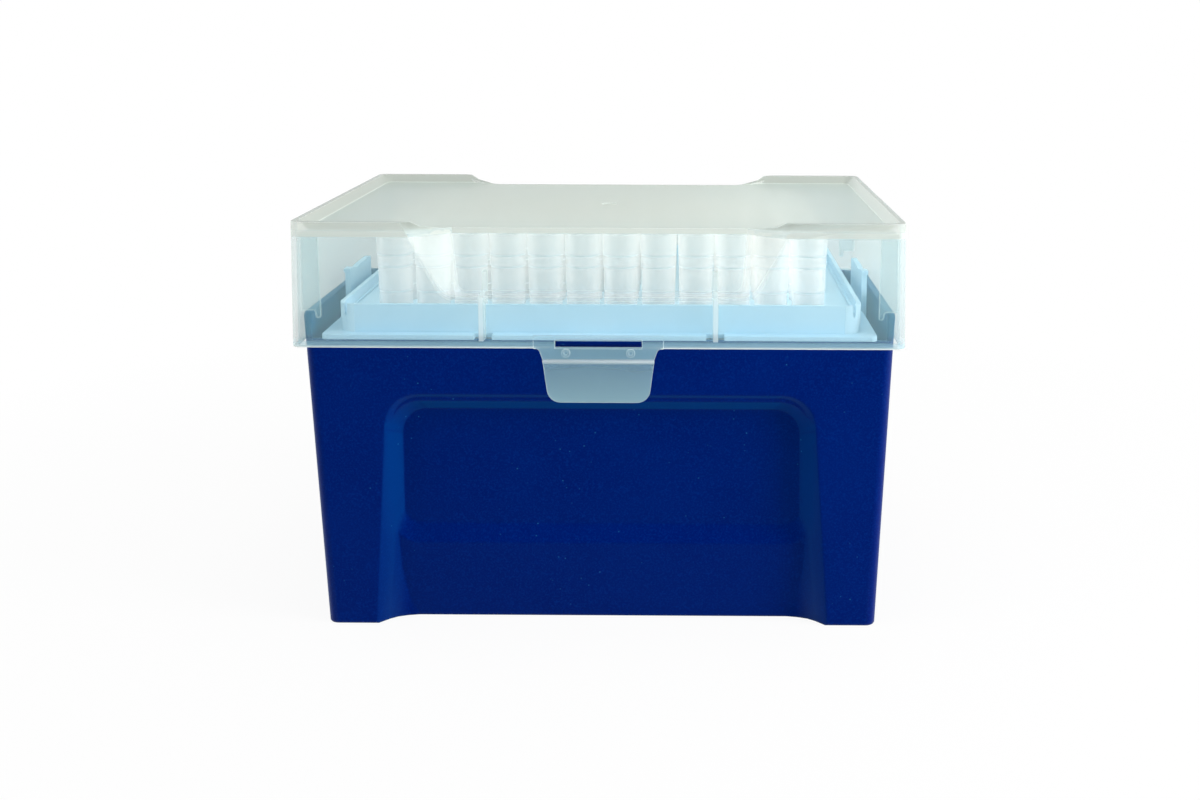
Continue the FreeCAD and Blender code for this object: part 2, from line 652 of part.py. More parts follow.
# ---------------------------------------------------------------------------------------------------
# Wafer: a flange that rests on the base's front and rear walls, a tray wall, a deck with 96 holes, ears
# ---------------------------------------------------------------------------------------------------
def make_wafer():
    wafer = new_body("wafer_body")
    flange = rounded_rectangle(FLANGE_HALF_X, FLANGE_HALF_Y, "flange_corner")
    add_pad(wafer, "XY", flange, "flange_wall", FRONT_HEIGHT)
    tray = rounded_rectangle(TRAY_HALF_X, TRAY_HALF_Y, "tray_corner")
    add_pad(wafer, "XY", tray, "flange_wall + tray_rise", FRONT_HEIGHT)
    inner_x = f"({TRAY_HALF_X} - tray_wall)"
    inner_y = f"({TRAY_HALF_Y} - tray_wall)"
    inner_corner = "tray_corner - tray_wall"
    for label, offset, length in (
        ("tray_hollow", f"{DECK_TOP}", "deck_drop + 1"),
        ("underside", f"{FRONT_HEIGHT} - 1", f"{DECK_TOP} - deck_wall - {FRONT_HEIGHT} + 1"),
    ):
        sketch = new_sketch(wafer, "XY", offset)
        outline(sketch, rounded_rectangle(inner_x, inner_y, inner_corner))
        pocket = wafer.newObject("PartDesign::Pocket", label)
        pocket.Profile = sketch
        pocket.Reversed = True
        bind(pocket, "Length", length)
    doc.recompute()
    hole_sketch = new_sketch(wafer, "XY", DECK_TOP)
    circle(hole_sketch, f"-{COLUMN_REACH}", f"-{ROW_REACH}", HOLE_RADIUS)
    hole = wafer.newObject("PartDesign::Pocket", "tip_hole")
    hole.Profile = hole_sketch
    bind(hole, "Length", "deck_wall + 1")
    grid = wafer.newObject("PartDesign::LinearPattern", "hole_grid")
    grid.Originals = [hole]
    axes = {f.Role: f for f in wafer.Origin.OriginFeatures}
    grid.Direction = (axes["X_Axis"], [""])
    grid.Occurrences = COLUMNS
    bind(grid, "Length", f"{COLUMN_REACH} * 2")
    grid.Direction2 = (axes["Y_Axis"], [""])
    grid.Occurrences2 = ROWS
    bind(grid, "Length2", f"{ROW_REACH} * 2")
    wafer.Tip = grid

    slit_start = f"{TRAY_HALF_X} - slit_inset - slit_width / 2"
    slit_end = f"{TRAY_HALF_X} - slit_inset + slit_width / 2"
    slit = prism(
        "slit_form",
        "XZ",
        [
            (slit_start, f"{TRAY_TOP} - slit_drop", "slit_width * 0.49"),
            (slit_end, f"{TRAY_TOP} - slit_drop", "slit_width * 0.49"),
            (slit_end, f"{TRAY_TOP} + 1"),
            (slit_start, f"{TRAY_TOP} + 1"),
        ],
        f"{TRAY_HALF_Y} * 2 + 2",
        midplane=True,
    )
    notch = prism(
        "notch_form",
        "XY",
        rectangle(
            f"{FIN_PLACE} - notch_width / 2",
            f"{TRAY_HALF_Y} + body_gap",
            f"{FIN_PLACE} + notch_width / 2",
            f"{FLANGE_HALF_Y} + 1",
        ),
        "flange_wall + 2",
        offset=f"{FRONT_HEIGHT} - 1",
    )
    corner_notches = both_sides("left_notch_form", notch, ACROSS)
    notches = fuse("rear_notches", corner_notches)
    tools = both_sides("left_slit_form", slit, ACROSS) + both_sides("front_notches", notches, ALONG)

    ear_x = f"({FLANGE_HALF_X} - ear_root)"
    ear_top = f"({FLANGE_TOP} + ear_rise)"
    ear = prism(
        "ear_form",
        "YZ",
        [
            ("ear_start - 0.8", FRONT_HEIGHT),
            ("ear_end", FRONT_HEIGHT),
            ("ear_end", f"{ear_top} - ear_drop", "1"),
            ("ear_crest", f"{ear_top} - ear_drop", "2"),
            ("ear_step", f"{ear_top} - ear_dip", "4"),
            ("ear_lip_end", ear_top, "2"),
            ("ear_start", ear_top),
        ],
        "ear_wall",
        offset=ear_x,
    )
    lip = rectangle("ear_start - 0.3", f"{ear_top} - ear_lip_wall", "ear_lip_end", ear_top)
    add_pad(ear, "YZ", lip, "ear_wall + ear_lip", offset=ear_x)
    ears = both_sides("left_ear_form", ear, ACROSS)
    return cut("tip_wafer", fuse("wafer_with_ears", [wafer] + ears), tools)


# ---------------------------------------------------------------------------------------------------
# Tips: one revolved, hollow form, repeated along half a column
# ---------------------------------------------------------------------------------------------------
def make_tip_group(column, first_row):
    """Four neighbouring tips of one column. Row a is at the rear."""
    last_letter = first_row + ROWS_PER_GROUP - 1
    label = f"tips_col{column + 1:02d}_rows_{'abcdefgh'[first_row]}_{'abcdefgh'[last_letter]}"
    group = new_body(label)
    bind(group, "Placement.Base.x", f"tip_pitch * ({column} - {(COLUMNS - 1) / 2})")
    bind(group, "Placement.Base.y", f"tip_pitch * ({(ROWS - 1) / 2} - {last_letter}) + {CENTRE_SHIFT}")
    sketch = new_sketch(group, "XZ")
    end = f"({TIP_TOP} - tip_length)"
    second = f"({COLLAR_RADIUS} - collar_step)"
    third = f"({COLLAR_FOOT} + collar_step)"
    outline(
        sketch,
        [
            ("orifice_radius", end),
            ("point_radius", end),
            (STEM_RADIUS, f"{DECK_TOP} - stem_straight"),
            (STEM_RADIUS, DECK_TOP),
            (COLLAR_FOOT, DECK_TOP),
            (COLLAR_FOOT, f"{DECK_TOP} + collar_lowest"),
            (third, f"{DECK_TOP} + collar_lowest"),
            (third, f"{TIP_TOP} - collar_band - collar_second"),
            (second, f"{TIP_TOP} - collar_band - collar_second"),
            (second, f"{TIP_TOP} - collar_band"),
            (COLLAR_RADIUS, f"{TIP_TOP} - collar_band"),
            (COLLAR_RADIUS, TIP_TOP),
            (SOCKET_RADIUS, TIP_TOP),
            (SOCKET_RADIUS, f"{TIP_TOP} - socket_length"),
        ],
    )
    turned = group.newObject("PartDesign::Revolution", label + "_turned")
    turned.Profile = sketch
    turned.ReferenceAxis = (sketch, ["V_Axis"])
    turned.Angle = 360.0
    row = group.newObject("PartDesign::LinearPattern", label + "_row")
    row.Originals = [turned]
    axes = {f.Role: f for f in group.Origin.OriginFeatures}
    row.Direction = (axes["Y_Axis"], [""])
    row.Occurrences = ROWS_PER_GROUP
    bind(row, "Length", f"tip_pitch * {ROWS_PER_GROUP - 1}")
    group.Tip = row
    return group


# ---------------------------------------------------------------------------------------------------
# Lid: a thin drafted shell with a stacking rim, two finger pockets, fins, gussets, latch neck, knuckles
# ---------------------------------------------------------------------------------------------------
def lid_lean_at(height):
    return f"(lid_lean * (({height}) - {LID_LOW}) / ({LID_TOP} - {LID_LOW}))"


def lid_form(label, inset, low, high, radius):
    sections = [
        (
            height,
            rounded_rectangle(
                f"{LID_HALF_X} - {lid_lean_at(height)} - {inset}",
                f"{LID_HALF_Y} - {lid_lean_at(height)} - {inset}",
                radius,
            ),
        )
        for height in (low, high)
    ]
    return loft(label, "XY", sections)


def pocket_form(label, grow, end_height):
    """The front finger pocket as a solid, made larger by grow on its flanks, panel and ledge."""
    front = LID_HALF_Y
    deep = f"({POCKET_DEPTH} + lid_lean + {grow})"

    def section(ledge_radius, depth):
        half = {}
        for level in ("high", "low"):
            wide, narrow = f"(pocket_width_{level} / 2)", f"(panel_width_{level} / 2)"
            slope = f"(({wide} - {narrow}) / {POCKET_DEPTH})"
            swell = f"({grow} * sqrt(1 + {slope} ^ 2))"
            half[level] = f"({wide} - {slope} * ({depth}) + {swell})"
        rise = f"(({end_height}) - {POCKET_LEDGE}) / ({LID_TOP} - {POCKET_LEDGE})"
        high = f"({half['low']} + ({half['high']} - {half['low']}) * {rise})"
        ledge = f"({POCKET_LEDGE} - {grow})"
        return [
            (f"-{half['low']}", ledge, ledge_radius),
            (half["low"], ledge, ledge_radius),
            (high, end_height),
            (f"-{high}", end_height),
        ]

    return loft(
        label,
        "XZ",
        [
            (front, section(f"pocket_corner + {grow}", "0")),
            (f"{front} - {deep}", section(f"panel_corner + {grow}", deep)),
        ],
    )


def make_fins():
    """Fins behind the front wall that run under the pocket's ledge and up behind its panel."""
    skirt = f"({LID_HALF_Y} - lid_wall)"
    inner = f"({TRAY_HALF_Y} + 1)"
    panel = f"({PANEL_FACE} - lid_wall)"
    fin = prism(
        "fin_form",
        "YZ",
        [
            (f"-{skirt} - lid_wall / 2", FIN_LOW),
            (f"-{inner}", FIN_LOW),
            (f"-{inner}", f"{TRAY_TOP} + 0.5", "0.8"),
            (f"-{panel} + 0.6", f"{TRAY_TOP} + 0.5", "0.8"),
            (f"-{panel} + 0.6", FIN_TOP),
            (f"-{panel} - lid_wall / 2", FIN_TOP),
            (f"-{panel} - lid_wall / 2", f"{POCKET_LEDGE} - lid_wall / 2"),
            (f"-{skirt} - lid_wall / 2", f"{POCKET_LEDGE} - lid_wall / 2"),
        ],
        "fin_wall",
        offset=f"{FIN_PLACE} - fin_wall / 2",
    )
    pair = fuse("front_fins", both_sides("left_fin_form", fin, ACROSS))
    return both_sides("rear_fins", pair, ALONG)


def make_gussets():
    """Corner plates whose lobes drop inside the base's raised side walls."""
    side = f"({LID_HALF_X} - lid_wall / 2 - lid_lean)"
    inner = f"({LID_HALF_X} - lid_wall - gusset_reach)"
    rest = f"({BASE_TOP} + body_gap)"
    wall_inside = f"({BASE_HALF_X} - base_wall - 0.7)"
    gusset = prism(
        "gusset_form",
        "XZ",
        [
            (inner, f"{rest} - gusset_lobe", "0.45"),
            (f"{inner} + 1.1", f"{rest} - gusset_lobe", "0.45"),
            (wall_inside, rest, "0.4"),
            (side, rest),
            (side, f"{PLATE_UNDER} + plate_wall / 2"),
            (inner, f"{PLATE_UNDER} + plate_wall / 2"),
        ],
        "gusset_wall",
        offset=f"{GUSSET_PLACE} - gusset_wall / 2",
    )
    pair = fuse("front_gussets", both_sides("left_gusset_form", gusset, ACROSS))
    return both_sides("rear_gussets", pair, ALONG)


def make_latch_neck():
    """The proud area round the latch, the neck below the skirt, its slot and its ring bosses."""
    back = f"({LID_HALF_Y} - lid_wall / 2)"
    pad = prism(
        "latch_pad_form",
        "XZ",
        rectangle("-latch_pad_width / 2", LID_LOW, "latch_pad_width / 2", f"{LID_LOW} + latch_pad_height"),
        f"{LATCH_FACE} - {back}",
        offset=back,
    )
    edge = f"({LATCH_AXIS} + bead_radius + bead_gap)"
    neck = prism(
        "latch_neck_form",
        "XZ",
        [
            ("-neck_width_low / 2", edge),
            ("neck_width_low / 2", edge),
            ("neck_width_high / 2", LID_LOW, "1"),
            ("latch_pad_width / 2", LID_LOW),
            ("latch_pad_width / 2", f"{LID_LOW} + 0.5"),
            ("-latch_pad_width / 2", f"{LID_LOW} + 0.5"),
            ("-latch_pad_width / 2", LID_LOW),
            ("-neck_width_high / 2", LID_LOW, "1"),
        ],
        "latch_wall",
        offset=f"{LATCH_FACE} - latch_wall",
    )
    window = prism(
        "latch_window",
        "XZ",
        rectangle(
            "-window_width / 2",
            f"{LID_LOW} + window_low",
            "window_width / 2",
            f"{LID_LOW} + window_low + window_height",
        ),
        "lid_wall * 3",
        offset=f"{back} - lid_wall",
    )
    boss = rod(
        "boss_form",
        "XZ",
        "boss_spread / 2",
        f"{LID_LOW} - boss_drop",
        "boss_radius",
        "boss_height * 2",
        offset=LATCH_FACE,
    )
    bore = rod(
        "boss_bore_form",
        "XZ",
        "boss_spread / 2",
        f"{LID_LOW} - boss_drop",
        "boss_bore",
        "boss_height * 4",
        offset=LATCH_FACE,
    )
    added = [pad, neck] + both_sides("left_boss_form", boss, ACROSS)
    taken = [window] + both_sides("left_boss_bore_form", bore, ACROSS)
    return added, taken


def make_knuckles():
    """Knuckles on the rear skirt, with pins that turn in the base's lugs."""
    skirt = f"({LID_HALF_Y} - lid_wall / 2)"
    rear = f"({HINGE_PLACE} + {KNUCKLE_RADIUS})"
    rounding = f"{KNUCKLE_RADIUS} * 0.98"
    knuckle = prism(
        "knuckle_form",
        "YZ",
        [
            (skirt, f"{HINGE_HEIGHT} - {KNUCKLE_RADIUS}"),
            (rear, f"{HINGE_HEIGHT} - {KNUCKLE_RADIUS}", rounding),
            (rear, f"{HINGE_HEIGHT} + {KNUCKLE_RADIUS}", rounding),
            (skirt, f"{HINGE_HEIGHT} + 2 * {KNUCKLE_RADIUS}"),
        ],
        "knuckle_width",
        offset="hinge_spread / 2 - knuckle_width / 2",
    )
    pin = rod(
        "pin_form",
        "YZ",
        HINGE_PLACE,
        HINGE_HEIGHT,
        "pin_radius",
        "knuckle_width + 2 * (body_gap + lug_wall)",
        offset="hinge_spread / 2",
    )
    right = fuse("right_knuckle", [knuckle, pin])
    return both_sides("left_knuckle", right, ACROSS)


def make_lid():
    outer = lid_form("lid_outer_form", "0", LID_LOW, LID_TOP, "lid_corner")
    pocket = pocket_form("pocket", "0", f"{LID_TOP} + 1")
    skin = pocket_form("pocket_skin", "lid_wall", f"{LID_TOP} + 1")
    pockets = both_sides("rear_pocket", pocket, ALONG)
    skins = both_sides("rear_pocket_skin", skin, ALONG)
    hollow = lid_form("lid_hollow_form", "lid_wall", f"{LID_LOW} - 1", PLATE_UNDER, "lid_corner - lid_wall")
    inside = cut("lid_inside", hollow, skins)

    land = f"(lid_lean + rim_land)"
    tray = loft(
        "rim_tray_form",
        "XY",
        [
            (
                PLATE_TOP,
                rounded_rectangle(
                    f"{LID_HALF_X} - {land} - rim_slope", f"{LID_HALF_Y} - {land} - rim_slope", "1.5"
                ),
            ),
            (
                LID_TOP,
                rounded_rectangle(f"{LID_HALF_X} - {land}", f"{LID_HALF_Y} - {land}", "2.5"),
            ),
        ],
    )
    ramp = prism(
        "ramp_form",
        "YZ",
        [
            (f"-{LID_HALF_Y} - 1", LID_TOP),
            (f"-{PANEL_FACE} - lid_wall", PLATE_TOP),
            (f"-{PANEL_FACE} + 2 * lid_wall", PLATE_TOP),
            (f"-{PANEL_FACE} + 2 * lid_wall", f"{LID_TOP} + 2"),
            (f"-{LID_HALF_Y} - 1", f"{LID_TOP} + 2"),
        ],
        f"{LID_HALF_X} * 2",
        midplane=True,
    )
    lip = cut("pocket_lip", skin, [ramp])
    rim_tray = cut("rim_tray", tray, both_sides("rear_pocket_lip", lip, ALONG))
    gate = rod("gate_dimple", "XY", "0", "0", "gate_radius", "gate_depth * 2", offset=PLATE_TOP)
    shell = cut("lid_shell", outer, [inside, rim_tray, gate] + pockets)
    neck, openings = make_latch_neck()
    solid = fuse("lid_with_fittings", [shell] + make_fins() + make_gussets() + neck + make_knuckles())
    return cut("lid", solid, openings)


def make_latch():
    """The latch flap: a plate that hangs from the bead on its hinge line."""
    flap = prism(
        "flap_form",
        "XZ",
        [
            ("-neck_width_low / 2", LATCH_AXIS),
            ("-flap_width_low / 2", f"{LATCH_AXIS} - flap_drop", "flap_corner"),
            ("flap_width_low / 2", f"{LATCH_AXIS} - flap_drop", "flap_corner"),
            ("neck_width_low / 2", LATCH_AXIS),
        ],
        "flap_wall",
        offset=f"{LATCH_FACE} - flap_wall",
    )
    relief = prism(
        "flap_relief",
        "YZ",
        [
            (f"-{LATCH_FACE}", f"{LATCH_AXIS} + 1"),
            (f"-{LATCH_FACE}", LATCH_AXIS),
            (f"-{LATCH_FACE} + flap_wall + 1", f"{LATCH_AXIS} - (flap_wall + 1) * 0.8"),
            (f"-{LATCH_FACE} + flap_wall + 1", f"{LATCH_AXIS} + 1"),
        ],
        "neck_width_low + 2",
        midplane=True,
    )
    bead = rod(
        "flap_bead",
        "YZ",
        f"-{LATCH_FACE}",
        LATCH_AXIS,
        "bead_radius",
        "neck_width_low",
    )
    return fuse("latch_flap", [cut("flap_plate", flap, [relief]), bead])


nodes = [make_base(), make_wafer(), make_lid(), make_latch()]
for node in nodes:
    bind(node, "Placement.Base.y", CENTRE_SHIFT)
for tip_column in range(COLUMNS):
    for tip_row in range(0, ROWS, ROWS_PER_GROUP):
        nodes.append(make_tip_group(tip_column, tip_row))
doc.recompute()

for item in doc.Objects:
    faults = {"Invalid", "Error"} & set(item.State)
    if faults:
        raise RuntimeError(f"{item.Name} ({item.Label}) is {sorted(faults)}")
for node in nodes:
    if node.Shape.isNull() or not node.Shape.isValid():
        raise RuntimeError(f"{node.Label} has no valid shape")

os.makedirs(PARTS_FOLDER, exist_ok=True)
for node in nodes:
    node.Shape.exportStep(os.path.join(PARTS_FOLDER, node.Label + ".step"))
    print(f"{node.Label}: {len(node.Shape.Solids)} solid(s), {node.Shape.Volume:.0f} mm3")
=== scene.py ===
"""The looks of a hinged box of pipette tips: frosted lid, translucent tips, pale wafer and dark blue base."""
import math

import bpy
from mathutils import Matrix, Vector

MM = 0.001

# Places on the object, in millimetres, as the CAD has them.
COLLAR_STEPS_MM = (90.0, 87.2, 81.2)  # heights of the steps on a tip's collar
FRONT_WALL_TOP_MM = 71.6  # top of the base's front wall
SKIRT_LOW_MM = 70.3  # lower edge of the lid's skirt
PLATE_TOP_MM = 97.4  # top of the lid's sunk plate
ABOVE_LID_MM = 100.0  # a height over everything
POCKET_HALF_MM = 47.5  # half the width of a finger pocket, facets included
POCKET_DEPTH_MM = 36.5  # it lies farther than this from the middle, front and rear
FIN_PLACE_MM = 27.0  # from the middle to a fin behind the front wall
FIN_HALF_MM = 0.55  # half a fin's thickness
NECK_HALF_MM = 14.4  # half the width of the latch neck
HINGE_LINE_MM = 67.3  # height of the latch's hinge line

# Edges of the clear plastics show as paler lines.
EDGE_LINE_MM = 0.3  # how far a line reaches to each side
EDGE_TURN = (0.03, 0.12)  # how much the surface turns where a line starts, and where it is full
EDGE_COLOUR = (0.85, 0.90, 0.87)
QUIET_EDGE = 0.35  # share of a line that stays where edges show less

# Light in the clear plastics.
CLEAR_TINT = (0.985, 0.972, 0.958)  # tint of each surface that light crosses
LAMP_MILK = 0.12  # share of the milk that a lamp's light meets on its way in
CLEAR_SURFACES = 64  # most surfaces that one ray crosses

# Studio lamps: name, place, size in metres and power in watts. All aim at one point of the box.
LAMPS = (
    ("key", (0.0, -0.15, 0.95), (0.9, 0.7), 3.9),
    ("left", (-0.75, -0.35, 0.35), (0.4, 0.6), 1.8),
    ("right", (0.62, -0.24, 0.22), (0.3, 0.45), 5.4),
)
LAMP_AIM = Vector((0, 0, 0.05))
WORLD_STRENGTH = 0.34
FLOOR_REACH = 3.0  # half the floor's width, in metres

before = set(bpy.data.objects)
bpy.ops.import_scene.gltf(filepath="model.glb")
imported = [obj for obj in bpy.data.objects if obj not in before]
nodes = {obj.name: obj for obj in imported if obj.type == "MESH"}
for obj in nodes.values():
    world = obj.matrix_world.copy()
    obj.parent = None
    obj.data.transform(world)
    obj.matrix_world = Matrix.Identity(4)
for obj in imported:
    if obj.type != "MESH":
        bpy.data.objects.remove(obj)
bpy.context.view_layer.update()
scene = bpy.context.scene

# ----------------------------------------------------------------------------------------------------
# Camera, at the photograph's viewing angle
# ----------------------------------------------------------------------------------------------------
CAMERA_PLACE = Vector((20.09, -344.17, 146.14)) * MM
CAMERA_DOWN = math.radians(10.186)
CAMERA_TURN = math.radians(0.203)
CAMERA_ROLL = math.radians(0.214)
CAMERA_LENS = 39.605
CAMERA_SHIFT = (-0.0678, -0.1234)


def make_camera():
    data = bpy.data.cameras.new("camera")
    data.sensor_width = 36.0
    data.lens = CAMERA_LENS
    data.shift_x, data.shift_y = CAMERA_SHIFT
    camera = bpy.data.objects.new("camera", data)
    turn = Matrix.Rotation(CAMERA_TURN, 4, "Z")
    tilt = Matrix.Rotation(math.pi / 2 - CAMERA_DOWN, 4, "X")
    roll = Matrix.Rotation(CAMERA_ROLL, 4, "Z")
    camera.matrix_world = Matrix.Translation(CAMERA_PLACE) @ turn @ tilt @ roll
    scene.collection.objects.link(camera)
    scene.camera = camera


# ----------------------------------------------------------------------------------------------------
# Shader helpers
# ----------------------------------------------------------------------------------------------------
class Shader:
    """A material and short ways to add its nodes."""

    def __init__(self, name):
        self.material = bpy.data.materials.new(name)
        self.material.use_nodes = True
        self.tree = self.material.node_tree
        self.tree.nodes.clear()
        self.output = self.tree.nodes.new("ShaderNodeOutputMaterial")
        places = self.tree.nodes.new("ShaderNodeTexCoord").outputs
        self.coordinates = places["Object"]
        self.own_normal = places["Normal"]

    def add(self, kind, **inputs):
        """A node whose named sockets are set to values or linked to other sockets."""
        made = self.tree.nodes.new("ShaderNode" + kind)
        for name, value in inputs.items():
            self.put(made.inputs[name.replace("_", " ")], value)
        return made

    def put(self, socket, value):
        if isinstance(value, bpy.types.NodeSocket):
            self.tree.links.new(value, socket)
        elif socket.type == "RGBA" and len(value) == 3:
            socket.default_value = (*value, 1.0)
        else:
            socket.default_value = value

    def noise(self, size_mm, detail=2.0, roughness=0.5, stretch=(1, 1, 1), seed=0.0):
        """Noise whose features are about size_mm across, from 0 to 1."""
        place = self.add("Mapping", Vector=self.coordinates, Scale=stretch, Location=(seed, seed, seed))
        made = self.add("TexNoise", Vector=place.outputs[0], Scale=1 / (size_mm * MM), Detail=detail)
        made.inputs["Roughness"].default_value = roughness
        return made.outputs["Fac"]

    def ramp(self, value, low, high, to_low=0.0, to_high=1.0):
        made = self.add("MapRange", Value=value)
        for name, number in (("From Min", low), ("From Max", high), ("To Min", to_low), ("To Max", to_high)):
            made.inputs[name].default_value = number
        return made.outputs["Result"]

    def math(self, operation, first, second):
        made = self.tree.nodes.new("ShaderNodeMath")
        made.operation = operation
        self.put(made.inputs[0], first)
        self.put(made.inputs[1], second)
        return made.outputs[0]

    def blend(self, share, first, second):
        made = self.tree.nodes.new("ShaderNodeMix")
        made.data_type = "RGBA"
        self.put(made.inputs[0], share)
        self.put(made.inputs[6], first)
        self.put(made.inputs[7], second)
        return made.outputs[2]

    def bump(self, height, distance_mm, strength=1.0, normal=None):
        made = self.add("Bump", Height=height, Distance=distance_mm * MM, Strength=strength)
        if normal is not None:
            self.put(made.inputs["Normal"], normal)
        return made.outputs[0]

    def soft_normal(self, radius_mm):
        """The surface's normal with its edges rounded off."""
        return self.add("Bevel", Radius=radius_mm * MM).outputs[0]

    def edges(self, radius_mm, low, high):
        """From 0 on flat faces to 1 along edges, which reach about radius_mm to each side."""
        dot = self.tree.nodes.new("ShaderNodeVectorMath")
        dot.operation = "DOT_PRODUCT"
        self.put(dot.inputs[0], self.soft_normal(radius_mm))
        self.put(dot.inputs[1], self.add("NewGeometry").outputs["Normal"])
        return self.ramp(dot.outputs["Value"], 1 - low, 1 - high)

    def between(self, share, first, second):
        made = self.tree.nodes.new("ShaderNodeMix")
        self.put(made.inputs[0], share)
        self.put(made.inputs[2], first)
        self.put(made.inputs[3], second)
        return made.outputs[0]

    def along(self, axis):
        """The place along X, Y or Z of the piece at rest."""
        return self.add("SeparateXYZ", Vector=self.coordinates).outputs[axis]

    def facing_part(self, axis):
        """The part along an axis of the normal of the piece at rest."""
        return self.add("SeparateXYZ", Vector=self.own_normal).outputs[axis]

    def absolute(self, value):
        return self.math("ABSOLUTE", value, 0.0)

    def beyond(self, place, start_mm, end_mm):
        """0 up to one place and 1 past another, in millimetres."""
        return self.ramp(place, start_mm * MM, end_mm * MM)

    def short_of(self, place, start_mm, end_mm):
        """The reverse of beyond."""
        return self.ramp(place, start_mm * MM, end_mm * MM, 1.0, 0.0)

    def both(self, first, *others):
        """1 where every mask given is 1."""
        for other in others:
            first = self.math("MULTIPLY", first, other)
        return first

    def within(self, axis, low_mm, high_mm, soft_mm=0.1):
        """1 between two heights or places along an axis and 0 beyond them."""
        place = self.along(axis)
        above = self.beyond(place, low_mm - soft_mm, low_mm + soft_mm)
        below = self.short_of(place, high_mm - soft_mm, high_mm + soft_mm)
        return self.math("MULTIPLY", above, below)

    def principled(self, **inputs):
        return self.add("BsdfPrincipled", **inputs).outputs[0]

    def mix(self, share, first, second):
        made = self.tree.nodes.new("ShaderNodeMixShader")
        self.put(made.inputs[0], share)
        self.put(made.inputs[1], first)
        self.put(made.inputs[2], second)
        return made.outputs[0]

    def finish(self, surface):
        self.tree.links.new(surface, self.output.inputs["Surface"])
        return self.material


def base_plastic():
    """Dark blue polypropylene with a fine moulded grain and a little dust, with painted light on the recess's
    flanks and on the raised walls under the lid.
    """
    m = Shader("base_plastic")
    grain = m.noise(0.45, detail=3.0, roughness=0.6)
    mottle = m.noise(16.0, detail=2.0)
    colour = m.blend(m.ramp(mottle, 0.3, 0.7), (0.000, 0.0030, 0.106), (0.000, 0.0048, 0.116))
    colour = m.blend(m.ramp(grain, 0.46, 0.72), colour, (0.000, 0.013, 0.160))
    # Painted highlight: lighter where the recess's flanks turn away from the front, as the lamp at the right
    # lights them.
    turned = m.ramp(m.absolute(m.facing_part("Y")), 0.55, 0.93, 1.0, 0.0)
    painted_flank_highlight = m.both(turned, m.within("X", -60, 60), m.within("Y", -50, -25, 1.0))
    colour = m.blend(painted_flank_highlight, colour, (0.000, 0.031, 0.170))
    # Painted light: a lighter colour on the raised walls, which lie in shade under the lid.
    painted_light_under_lid = m.beyond(m.along("Z"), FRONT_WALL_TOP_MM - 0.1, FRONT_WALL_TOP_MM + 1.4)
    colour = m.blend(painted_light_under_lid, colour, (0.000, 0.070, 0.165))
    speck = m.add("TexVoronoi", Vector=m.coordinates, Scale=1 / (2.4 * MM))
    spots = m.ramp(speck.outputs["Distance"], 0.05, 0.10, 1.0, 0.0)
    few = m.ramp(m.noise(14.0, detail=3.0, seed=3.1), 0.52, 0.62)
    dust = m.math("MULTIPLY", spots, few)
    colour = m.blend(m.math("MULTIPLY", dust, 0.4), colour, (0.03, 0.18, 0.40))
    soft = m.soft_normal(0.9)
    fine = m.bump(grain, 0.02, 0.6, soft)
    rough = m.ramp(grain, 0.3, 0.7, 0.34, 0.44)
    shine = dict(Specular_IOR_Level=m.between(painted_flank_highlight, 0.20, 0.02), Specular_Tint=(0.0, 0.45, 1.0))
    sheen = dict(Sheen_Weight=0.17, Sheen_Roughness=0.35, Sheen_Tint=(0.0, 0.50, 0.9))
    return m.finish(m.principled(Base_Color=colour, Roughness=rough, Normal=fine, **shine, **sheen))


def wafer_plastic():
    """Pale blue polypropylene, a little glossier than the base."""
    m = Shader("wafer_plastic")
    grain = m.noise(0.5, detail=2.0)
    mottle = m.noise(20.0, detail=2.0, seed=1.7)
    colour = m.blend(m.ramp(mottle, 0.3, 0.7), (0.47, 0.72, 0.90), (0.53, 0.77, 0.94))
    rough = m.ramp(grain, 0.3, 0.7, 0.32, 0.44)
    return m.finish(m.principled(Base_Color=colour, Roughness=rough, Normal=m.bump(grain, 0.01, 0.4)))


def clear_plastic(name, milk, colours, outline=0.0, zones=None, quiet=None, through=0.35):
    """See-through polypropylene: clear from the front, milkier towards grazing angles and along edges.

    milk has the opaque shares seen straight on and at a grazing angle. colours has what scatters back
    straight on, what scatters back at a grazing angle, and the light that passes through from behind,
    and through is that light's part. outline is the share added along edges. zones gives the places that
    are frosted or thick, and the places with painted shade and painted highlights: a mask, a share and a
    colour each. quiet gives the places where edges show less.
    """
    near, far, back = colours
    m = Shader(name)
    flow = m.noise(18.0, detail=2.0, stretch=(1, 1, 0.4), seed=2.3)
    normal = m.bump(flow, 0.05, 0.6)
    facing = m.add("LayerWeight", Blend=0.35).outputs["Facing"]
    haze = m.ramp(flow, 0.3, 0.7, 0.94, 1.06)
    milky = m.math("MULTIPLY", m.ramp(facing, 0.0, 1.0, *milk), haze)
    colour = m.blend(facing, near, far)
    for mask, share, tone in zones(m) if zones else ():
        milky = m.between(mask, milky, share)
        colour = m.blend(mask, colour, tone)
    if outline:
        line = m.edges(EDGE_LINE_MM, *EDGE_TURN)
        if quiet:
            line = m.math("MULTIPLY", line, m.ramp(quiet(m), 0.0, 1.0, 1.0, QUIET_EDGE))
        milky = m.math("MAXIMUM", milky, m.math("MULTIPLY", line, outline))
        colour = m.blend(line, colour, EDGE_COLOUR)
    lamp_ray = m.add("LightPath").outputs["Is Shadow Ray"]
    milky = m.math("MULTIPLY", milky, m.ramp(lamp_ray, 0.0, 1.0, 1.0, LAMP_MILK))
    clear = m.add("BsdfTransparent", Color=CLEAR_TINT).outputs[0]
    solid = m.principled(Base_Color=colour, Roughness=0.22, Normal=normal, Specular_IOR_Level=0.15)
    glow = m.add("BsdfTranslucent", Color=back).outputs[0]
    return m.finish(m.mix(milky, clear, m.mix(through, solid, glow)))


